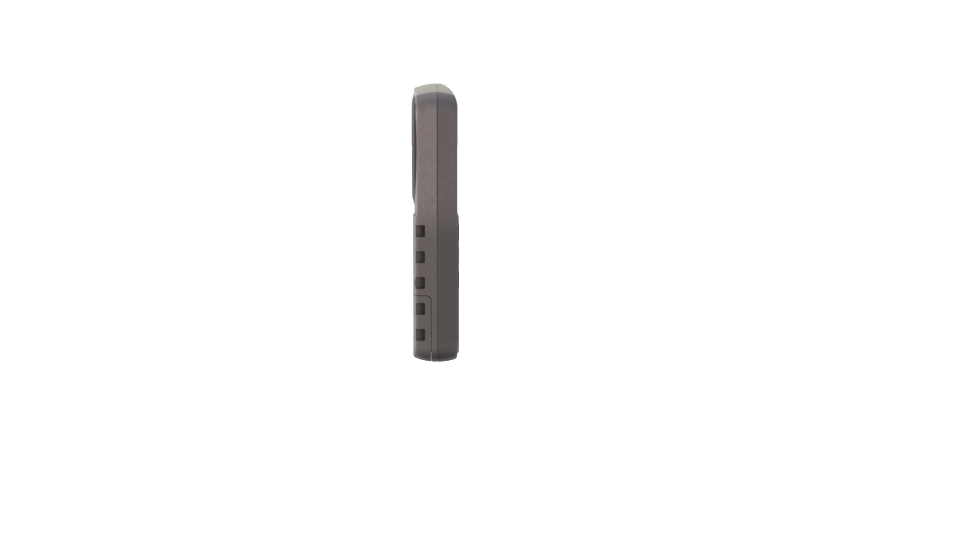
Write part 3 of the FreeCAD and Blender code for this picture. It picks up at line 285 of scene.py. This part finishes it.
def mottled(name, base, rough, scale=900.0, bump=0.3):
    """Plain inner material with grain, blotches and uneven gloss."""
    sh = Shader(name)
    fine = sh.noise(scale * 3.0, 4.0, 0.6)
    wide = sh.noise(scale * 0.3, 4.0, 0.6)
    color = sh.mix(sh.ramp(fine, 0.3, 0.7), shade(base, 0.75), shade(base, 1.2))
    color = sh.mix(sh.ramp(wide, 0.45, 0.75, 0.0, 0.35), color, shade(base, 1.35))
    roughness = sh.ramp(wide, 0.3, 0.7, max(0.05, rough - 0.08), rough + 0.1)
    sh.finish(color, roughness, sh.bump(fine, bump, 0.00003))
    return sh.material


def circuit_board():
    """Solder mask over faint copper tracks."""
    sh = Shader("circuit_board")
    run = sh.cells(330.0)
    turns = sh.math("FRACT", sh.math("MULTIPLY", run, 3.0))
    tracks = near(sh, turns, 0.5, 0.1, 0.06)
    grain = sh.noise(3000.0, 3.0, 0.6)
    color = sh.mix(sh.math("MULTIPLY", tracks, 0.8), (0.01, 0.085, 0.03), (0.03, 0.19, 0.07))
    color = sh.mix(sh.ramp(grain, 0.6, 0.8, 0.0, 0.2), color, (0.05, 0.25, 0.1))
    sh.finish(color, 0.34, sh.bump(tracks, 0.4, 0.00003), Coat_Weight=0.4)
    return sh.material


def front_print():
    """Satin inlay printed with thin rings that spread from its middle."""
    sh = Shader("front_print")
    x, y, z = sh.axes()
    dz = sh.math("SUBTRACT", z, LABEL_MIDDLE)
    radius = sh.math("SQRT", sh.math("ADD", sh.math("MULTIPLY", x, x), sh.math("MULTIPLY", dz, dz)))
    angle = sh.math("ARCTAN2", sh.math("ABSOLUTE", dz), sh.math("ABSOLUTE", x))
    fan = sh.ramp(angle, math.radians(36), math.radians(38), 1.0, 0.0)
    lines = None
    for r in (4.6, 7.2, 9.8):
        ring = near(sh, radius, r * MM, 0.45 * MM, 0.05 * MM)
        lines = ring if lines is None else sh.math("MAXIMUM", lines, ring)
    lines = sh.math("MULTIPLY", lines, fan)
    lines = sh.math("MAXIMUM", lines, sh.ramp(radius, 2.0 * MM, 2.05 * MM, 1.0, 0.0))
    fine = sh.noise(4200.0, 3.0, 0.6)
    wide = sh.noise(240.0, 4.0, 0.6)
    color = sh.mix(sh.ramp(fine, 0.3, 0.7), (0.012, 0.013, 0.014), (0.026, 0.027, 0.029))
    color = sh.mix(lines, color, sh.mix(sh.ramp(fine, 0.3, 0.5), (0.28, 0.29, 0.26), (0.5, 0.52, 0.46)))
    sh.finish(color, sh.ramp(wide, 0.3, 0.7, 0.3, 0.46), sh.bump(fine, 0.25, 0.00002), Coat_Weight=0.25)
    return sh.material


def list_print():
    """Paper-backed list label: five ruled lines with short bars instead of words."""
    sh = Shader("list_print")
    x, y, z = sh.axes()
    bottom, pitch = 11.6 * MM, 3.0 * MM
    row = sh.math("DIVIDE", sh.math("SUBTRACT", z, bottom), pitch)
    inside = sh.math("FRACT", row)
    index = sh.math("FLOOR", row)
    bar = near(sh, inside, 0.5, 0.17, 0.03)
    uneven = sh.math("FRACT", sh.math("MULTIPLY", index, 0.618))
    length = sh.math("ADD", 4.0 * MM, sh.math("MULTIPLY", uneven, 9.0 * MM))
    left = -12.5 * MM
    reach = sh.math("SUBTRACT", x, left)
    long_bar = sh.math("MULTIPLY", sh.ramp(reach, 0.0, 0.1 * MM),
                       sh.ramp(sh.math("SUBTRACT", reach, length), 0.0, 0.1 * MM, 1.0, 0.0))
    dot = near(sh, x, -16.0 * MM, 0.75 * MM, 0.08 * MM)
    rows = sh.math("MULTIPLY", sh.ramp(index, -0.5, -0.4), sh.ramp(index, 4.4, 4.5, 1.0, 0.0))
    ink = sh.math("MULTIPLY", sh.math("MULTIPLY", sh.math("MAXIMUM", long_bar, dot), bar), rows)
    rule = sh.math("MULTIPLY", near(sh, inside, 0.02, 0.02, 0.01), near(sh, x, 0.0, 17.0 * MM, 0.1 * MM))
    fine = sh.noise(3600.0, 4.0, 0.6)
    wide = sh.noise(300.0, 4.0, 0.6)
    color = sh.mix(sh.ramp(fine, 0.3, 0.7), (0.34, 0.35, 0.31), (0.42, 0.43, 0.38))
    color = sh.mix(sh.ramp(wide, 0.5, 0.8, 0.0, 0.25), color, (0.3, 0.3, 0.26))
    color = sh.mix(sh.math("MULTIPLY", rule, 0.6), color, (0.1, 0.1, 0.1))
    color = sh.mix(ink, color, (0.02, 0.02, 0.022))
    sh.finish(color, sh.ramp(wide, 0.3, 0.7, 0.4, 0.55), sh.bump(fine, 0.25, 0.00002))
    return sh.material


def red_lens():
    """Glossy red lens with fine moulded rings inside."""
    sh = Shader("red_lens")
    fine = sh.noise(2600.0, 3.0, 0.5)
    rings = sh.math("SINE", sh.math("MULTIPLY", sh.cells(900.0), 40.0))
    color = sh.mix(sh.ramp(fine, 0.3, 0.7), (0.35, 0.01, 0.01), (0.6, 0.03, 0.02))
    sh.finish(color, sh.ramp(fine, 0.3, 0.7, 0.08, 0.2), sh.bump(rings, 0.2, 0.00003), Coat_Weight=0.6)
    return sh.material


def stage_material():
    """Matt floor with a faint drift in its paleness."""
    sh = Shader("pale_floor")
    fine = sh.noise(90.0, 4.0, 0.55)
    color = sh.mix(sh.ramp(fine, 0.3, 0.7), (0.955, 0.955, 0.95), (0.975, 0.975, 0.97))
    sh.finish(color, 0.75, None, Specular_IOR_Level=0.1)
    return sh.material


REAR_CHARCOAL = (0.114, 0.090, 0.088)
# The front half's charcoal is a darker copy of the rear one: painted shade on the keypad half.
SHADED_FRONT_CHARCOAL = (0.063, 0.050, 0.050)
shaded_front_plastic = grained_plastic("shaded_front_plastic", SHADED_FRONT_CHARCOAL)
rear_plastic = grained_plastic("rear_plastic", REAR_CHARCOAL)
door_plastic = grained_plastic("door_plastic", shade(REAR_CHARCOAL, 0.96))
cover_plastic = grained_plastic("cover_plastic", shade(REAR_CHARCOAL, 0.42), with_painted_light=False, grain=2900.0,
                                rough=0.66, shine=0.25)
# Near-black keypad panel, darkened further with painted shade.
shaded_panel_plastic = grained_plastic("shaded_panel_plastic", (0.02, 0.019, 0.019), with_painted_light=False, grain=3300.0,
                                depth=0.00004, rough=0.48, shine=0.22)
LOOKS = {
    "front_shell": shaded_front_plastic, "rear_shell": rear_plastic, "battery_door": door_plastic,
    "speaker_cover": cover_plastic, "keypad_panel": shaded_panel_plastic,
    "front_label": front_print(), "sound_list": list_print(), "lamp_lens": red_lens(),
    "keypad_mat": soft_key("mat_silicone", (0.32, 0.32, 0.3)),
    "keypad_domes": soft_key("dome_silicone", (0.38, 0.38, 0.36)),
    "main_board": circuit_board(),
    "grille_cloth": woven("speaker_cloth", (0.02, 0.02, 0.021), 0.9 * MM),
    "speaker_gasket": mottled("foam_gasket", (0.035, 0.035, 0.035), 0.85),
    "door_seal": mottled("seal_rubber", (0.012, 0.012, 0.012), 0.8),
    "speaker_surround": mottled("surround_rubber", (0.02, 0.02, 0.02), 0.5),
    "speaker_cone": mottled("cone_paper", (0.05, 0.048, 0.045), 0.85, 700.0, bump=0.6),
    "dust_cap": mottled("cap_paper", (0.035, 0.034, 0.033), 0.6, 800.0),
    "voice_coil": metal("coil_wire", (0.62, 0.3, 0.15), 0.3, (0.2, 8.0, 0.2), 900.0),
    "speaker_magnet": mottled("ferrite", (0.05, 0.05, 0.052), 0.6, 1200.0),
    "resistors": mottled("chip_ceramic", (0.05, 0.05, 0.06), 0.5),
    "status_lamp": mottled("lamp_body", (0.7, 0.66, 0.55), 0.3),
}
steel = metal("plated_steel", (0.52, 0.52, 0.51), 0.34, (1.0, 6.0, 1.0), 1100.0)
black_steel = metal("black_steel", (0.07, 0.07, 0.075), 0.42, (1.0, 5.0, 1.0), 1500.0)
nickel = metal("nickel_contact", (0.7, 0.68, 0.62), 0.26, (6.0, 1.0, 1.0), 1200.0)
aluminium = metal("drawn_can", (0.78, 0.78, 0.77), 0.3, (1.0, 7.0, 1.0), 1000.0)
chip = mottled("chip_package", (0.02, 0.02, 0.021), 0.5, 1400.0)
wire = mottled("wire_cover", (0.38, 0.03, 0.025), 0.45, 1200.0)
for names, look in (
        (("case_screws", "board_screws", "speaker_screws"), black_steel),
        (("speaker_frame", "speaker_plate", "speaker_yoke"), steel),
        (("battery_contacts", "battery_spring_lower", "battery_spring_upper"), nickel),
        (("capacitor", "crystal"), aluminium),
        (("processor_chip", "memory_chip", "amplifier_chip"), chip),
        (("battery_wires", "speaker_wires"), wire)):
    for name in names:
        LOOKS[name] = look


def cell_wrap(name):
    """Printed sleeve of a battery cell: dark body, coloured band at the positive end, bare metal rims."""
    sh = Shader(name + "_wrap")
    x, y, z = sh.axes()
    if name.endswith("upper"):
        x = sh.math("MULTIPLY", x, -1.0)
    fine = sh.noise(2600.0, 3.0, 0.6)
    wide = sh.noise(200.0, 4.0, 0.55)
    band = sh.ramp(x, 11.0 * MM, 11.05 * MM)
    stripe = near(sh, x, 10.2 * MM, 0.35 * MM, 0.03 * MM)
    bare = sh.math("MAXIMUM", sh.ramp(x, 21.1 * MM, 21.15 * MM),
                   sh.ramp(x, -22.0 * MM, -21.95 * MM, 1.0, 0.0))
    color = sh.mix(sh.ramp(fine, 0.3, 0.7), (0.02, 0.021, 0.024), (0.034, 0.036, 0.04))
    color = sh.mix(band, color, (0.36, 0.17, 0.035))
    color = sh.mix(stripe, color, (0.5, 0.5, 0.46))
    color = sh.mix(bare, color, (0.66, 0.65, 0.6))
    sh.finish(color, sh.ramp(wide, 0.3, 0.7, 0.24, 0.36), sh.bump(fine, 0.15, 0.00002),
              Metallic=sh.math("MAXIMUM", bare, 0.35))
    return sh.material


for name in ("battery_cell_lower", "battery_cell_upper"):
    LOOKS[name] = cell_wrap(name)

KEY_GREY = (0.12, 0.12, 0.118)
KEY_COLORS = {"power_key": (0.30, 0.035, 0.025), "volume_down_key": KEY_GREY, "volume_up_key": KEY_GREY}
call_look = soft_key("call_key_rubber", (0.082, 0.088, 0.062))
for name in NODES:
    if name.startswith("call_key"):
        LOOKS[name] = call_look
    elif name in KEY_COLORS:
        LOOKS[name] = soft_key(name + "_rubber", KEY_COLORS[name])

for name, item in NODES.items():
    item.data.materials.clear()
    item.data.materials.append(LOOKS[name])


# ---------------------------------------------------------------- printed marks on the keys

white_ink = print_ink("white_ink", (0.62, 0.62, 0.58))


def add_piece(name, mesh, look, body):
    """Puts a finished mesh in the scene as a piece that rides on a CAD body."""
    mesh.materials.append(look)
    item = bpy.data.objects.new(name, mesh)
    bpy.context.scene.collection.objects.link(item)
    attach(item, body)
    return item


def strokes_mesh(name, centre, lines, width, thickness):
    """Flat printed strokes facing -Y; each line is a list of (x, z) points in metres from the centre."""
    bm = bmesh.new()
    cx, cy, cz = centre
    for points in lines:
        closed = points[0] == points[-1] and len(points) > 2
        path = [Vector((x, 0.0, z)) for x, z in points]
        sides = []
        count = len(path)
        for k, p in enumerate(path):
            if closed:
                a, b = path[(k - 1) % (count - 1)], path[(k + 1) % (count - 1)]
            else:
                a, b = path[max(0, k - 1)], path[min(count - 1, k + 1)]
            along = (b - a).normalized()
            across = Vector((-along.z, 0.0, along.x)) * (width / 2)
            sides.append((p + across, p - across))
        rings = []
        for left, right in sides:
            ring = [bm.verts.new((cx + q.x, cy + dy, cz + q.z))
                    for q, dy in ((left, 0.0), (left, -thickness), (right, -thickness), (right, 0.0))]
            rings.append(ring)
        for a, b in zip(rings, rings[1:]):
            for k in range(4):
                bm.faces.new((a[k], a[(k + 1) % 4], b[(k + 1) % 4], b[k]))
        if not closed:
            bm.faces.new(rings[0])
            bm.faces.new(reversed(rings[-1]))
    bmesh.ops.remove_doubles(bm, verts=bm.verts, dist=1e-7)
    bmesh.ops.recalc_face_normals(bm, faces=bm.faces)
    mesh = bpy.data.meshes.new(name)
    bm.to_mesh(mesh)
    bm.free()
    return mesh


def round_path(points, start, end, radius, centre=(0.0, 0.0), steps=14):
    """Adds an arc to a list of points; angles in degrees, measured from +X towards +Z."""
    for k in range(steps + 1):
        a = math.radians(start + (end - start) * k / steps)
        points.append((centre[0] + radius * math.cos(a), centre[1] + radius * math.sin(a)))
    return points


def numeral(n):
    """Single-stroke numerals, 1.7 mm wide and 3.2 mm tall; +X is to the reader's right seen from -Y."""
    w, h = 0.85 * MM, 1.6 * MM
    if n == 1:
        return [[(-0.5 * w, 0.55 * h), (0.1 * w, h), (0.1 * w, -h)], [(-0.6 * w, -h), (0.8 * w, -h)]]
    if n == 2:
        top = round_path([], 165, -35, w, (0.0, h - w))
        return [top + [(-w, -h)], [(-w, -h), (w, -h)]]
    if n == 3:
        r = 0.8 * MM
        upper = round_path([], 150, -80, r, (0.0, h - r))
        lower = round_path([], 80, -150, r + 0.02 * MM, (0.0, -h + r))
        return [upper, lower]
    if n == 4:
        return [[(0.45 * w, -h), (0.45 * w, h), (-w, -0.35 * h)], [(-w, -0.35 * h), (w, -0.35 * h)]]
    bowl = round_path([], 120, -150, 0.95 * MM, (-0.05 * MM, -h + 0.95 * MM))
    return [[(0.8 * w, h), (-0.7 * w, h)], [(-0.7 * w, h), (-0.75 * w, 0.15 * h)], bowl]


def key_marks():
    """Numbers and signs, each printed on its own key."""
    stroke, thickness = 0.42 * MM, 0.03 * MM
    marks = {"call_key_%d" % n: numeral(n) for n in range(1, 6)}
    bar = 1.6 * MM
    marks["volume_down_key"] = [[(-bar, 0.0), (bar, 0.0)]]
    marks["volume_up_key"] = [[(-bar, 0.0), (bar, 0.0)], [(0.0, -bar), (0.0, bar)]]
    marks["power_key"] = [round_path([], 120, 420, 1.35 * MM, steps=28), [(0.0, 0.4 * MM), (0.0, 1.9 * MM)]]
    for name, lines in marks.items():
        low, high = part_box(name)
        centre = ((low[0] + high[0]) / 2, low[1], (low[2] + high[2]) / 2)
        mesh = strokes_mesh(name + "_mark", centre, lines, stroke, thickness)
        add_piece(name + "_mark", mesh, white_ink, name)


key_marks()


# ---------------------------------------------------------------- stage, light and camera

def build_stage():
    """Wide pale floor, low enough for the battery door to slide off above it."""
    bm = bmesh.new()
    bmesh.ops.create_grid(bm, x_segments=4, y_segments=4, size=FLOOR_HALF,
                          matrix=Matrix.Translation((0.0, 0.0, FLOOR_HEIGHT)))
    mesh = bpy.data.meshes.new("floor")
    bm.to_mesh(mesh)
    bm.free()
    mesh.materials.append(stage_material())
    floor = bpy.data.objects.new("floor", mesh)
    bpy.context.scene.collection.objects.link(floor)


def studio_world(strength):
    """Even white surroundings."""
    world = bpy.data.worlds.new("studio")
    world.use_nodes = True
    background = world.node_tree.nodes["Background"]
    background.inputs["Color"].default_value = (1.0, 1.0, 1.0, 1.0)
    background.inputs["Strength"].default_value = strength
    bpy.context.scene.world = world


def ceiling_light(strength):
    """Broad even light from straight above."""
    data = bpy.data.lights.new("ceiling_light", "SUN")
    data.energy = strength
    data.angle = math.radians(50)
    data.color = (1.0, 0.99, 0.97)
    bpy.context.scene.collection.objects.link(bpy.data.objects.new("ceiling_light", data))


def area_light(name, place, target, size, power, color):
    data = bpy.data.lights.new(name, "AREA")
    data.shape = "RECTANGLE"
    data.size, data.size_y = size
    data.energy = power
    data.color = color
    item = bpy.data.objects.new(name, data)
    item.location = place
    item.rotation_euler = (Vector(target) - Vector(place)).to_track_quat("-Z", "Y").to_euler()
    bpy.context.scene.collection.objects.link(item)


build_stage()
studio_world(1.02)
DEVICE_MIDDLE = (0.0, 0.0, 0.07)
area_light("rear_light", (-0.16, 0.95, 0.42), DEVICE_MIDDLE, (0.5, 0.5), 6.0, (1.0, 0.97, 0.95))
ceiling_light(2.2)

# The camera stands 1.3 m from the edge of the device, level with its upper part, and looks slightly down and
# past its keypad side.
CAMERA_PLACE = Vector((-1.3, 0.0022, 0.1))
LOOKED_AT = Vector((-CASE_HALF, -22.84 * MM, 39.23 * MM))
VIEW_WIDTH = 0.41795             # width of the scene in view, at the near edge of the case
SENSOR_MM = 36.0

camera_data = bpy.data.cameras.new("camera")
camera_data.sensor_width = SENSOR_MM
camera_data.lens = SENSOR_MM * (LOOKED_AT.x - CAMERA_PLACE.x) / VIEW_WIDTH
camera = bpy.data.objects.new("camera", camera_data)
bpy.context.scene.collection.objects.link(camera)
camera.location = CAMERA_PLACE
camera.rotation_euler = (LOOKED_AT - CAMERA_PLACE).to_track_quat("-Z", "Y").to_euler()
camera_data.clip_end = 50.0
bpy.context.scene.camera = camera
bpy.context.scene.view_settings.view_transform = "Standard"
